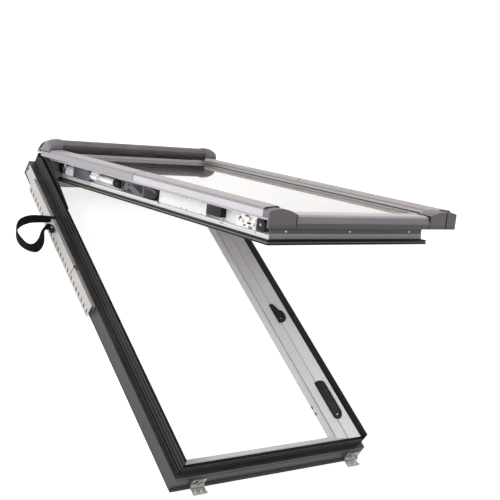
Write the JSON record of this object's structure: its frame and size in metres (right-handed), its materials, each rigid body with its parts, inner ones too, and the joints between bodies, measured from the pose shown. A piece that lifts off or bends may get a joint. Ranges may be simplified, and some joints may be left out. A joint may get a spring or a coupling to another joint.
{
  "type": "roof window",
  "caption": "Top-hung roof window with an outer frame, a glazed sash that swings up about a high pivot under a hood, and side locking hardware.",
  "frame": {"origin": "middle of the frame's clear opening, in the frame's back plane", "axes": "+X across the window, +Y up the slope towards the hinge, +Z out of the roof"},
  "size_m": [0.8077, 1.2143, 0.776],
  "materials": {
    "white_profile": "satin",
    "grey_cladding": "satin",
    "black_upstand": "satin",
    "black_steel": "satin",
    "plain_steel": "brushed",
    "galvanised": "galvanised",
    "webbing": "woven",
    "seal": "matt",
    "spacer": "matt",
    "pane": "clear",
    "grey_cover": "satin",
    "hood_sheet": "satin",
    "silver_bead": "satin",
    "toothed_rack": "matt",
    "dark_hardware": "matt",
    "handle_metal": "satin"
  },
  "bodies": {
    "frame": {"cladding_head": "grey_cladding", "cladding_left": "grey_cladding", "cladding_right": "grey_cladding", "cladding_sill": "grey_cladding", "frame_hinge_left": "black_steel", "frame_hinge_right": "black_steel", "frame_profile_head": "white_profile", "frame_profile_left": "white_profile", "frame_profile_right": "white_profile", "frame_profile_sill": "white_profile", "sill_clip_left": "galvanised", "sill_clip_right": "galvanised", "strap": "webbing", "strap_clamp": "black_steel", "strike_high_left": "plain_steel", "strike_high_right": "plain_steel", "strike_low_left": "plain_steel", "strike_low_right": "plain_steel", "strip_high_left": "galvanised", "strip_high_right": "galvanised", "strip_low_left": "galvanised", "strip_low_right": "galvanised", "upstand_head": "black_upstand", "upstand_left": "black_upstand", "upstand_right": "black_upstand", "upstand_sill": "black_upstand"},
    "sash": {"dampers": "plain_steel", "drive_blocks": "dark_hardware", "gearboxes": "dark_hardware", "glass_inner": "pane", "glass_outer": "pane", "glass_spacer": "spacer", "glazing_bead": "silver_bead", "guide_plates": "toothed_rack", "handle_rosette": "handle_metal", "hood": "hood_sheet", "hood_cap_left": "hood_sheet", "hood_cap_right": "hood_sheet", "hood_rear_cap_left": "hood_sheet", "hood_rear_cap_right": "hood_sheet", "low_cap_left": "grey_cover", "low_cap_right": "grey_cover", "low_cap_side_right": "grey_cover", "low_cover": "grey_cover", "pivot_racks": "toothed_rack", "sash_gasket": "seal", "sash_hinge_left": "black_steel", "sash_hinge_right": "black_steel", "sash_profile_head": "white_profile", "sash_profile_left": "white_profile", "sash_profile_right": "white_profile", "sash_profile_sill": "white_profile", "side_cover_high_left": "grey_cover", "side_cover_high_right": "grey_cover", "side_cover_low_left": "grey_cover", "side_cover_low_right": "grey_cover", "stop_blocks": "dark_hardware"},
    "handle": {"handle": "handle_metal"},
    "lock_left": {"lock_left": "plain_steel"},
    "lock_right": {"lock_right": "plain_steel"}
  },
  "joints": [
    {"name": "sash_swing", "type": "hinge", "parent": "frame", "child": "sash", "pos_m": [0, 0.56, 0.1], "axis": [-1, 0, 0], "range_deg": [-35, 7]},
    {"name": "handle_turn", "type": "hinge", "parent": "sash", "child": "handle", "pos_m": [0, -0.32002, 0.65638], "axis": [0, 0.8192, -0.5736], "range_deg": [0, 90]},
    {"name": "lock_left_slide", "type": "slide", "parent": "sash", "child": "lock_left", "axis": [0, 0.8192, -0.5736], "range_m": [0, 0.018]},
    {"name": "lock_right_slide", "type": "slide", "parent": "sash", "child": "lock_right", "axis": [0, 0.8192, -0.5736], "range_m": [0, 0.018]}
  ],
  "couplings": [
    {"joint": "lock_left_slide", "follows": "handle_turn", "m_per_rad": 0.0114},
    {"joint": "lock_right_slide", "follows": "handle_turn", "m_per_rad": 0.0114}
  ]
}
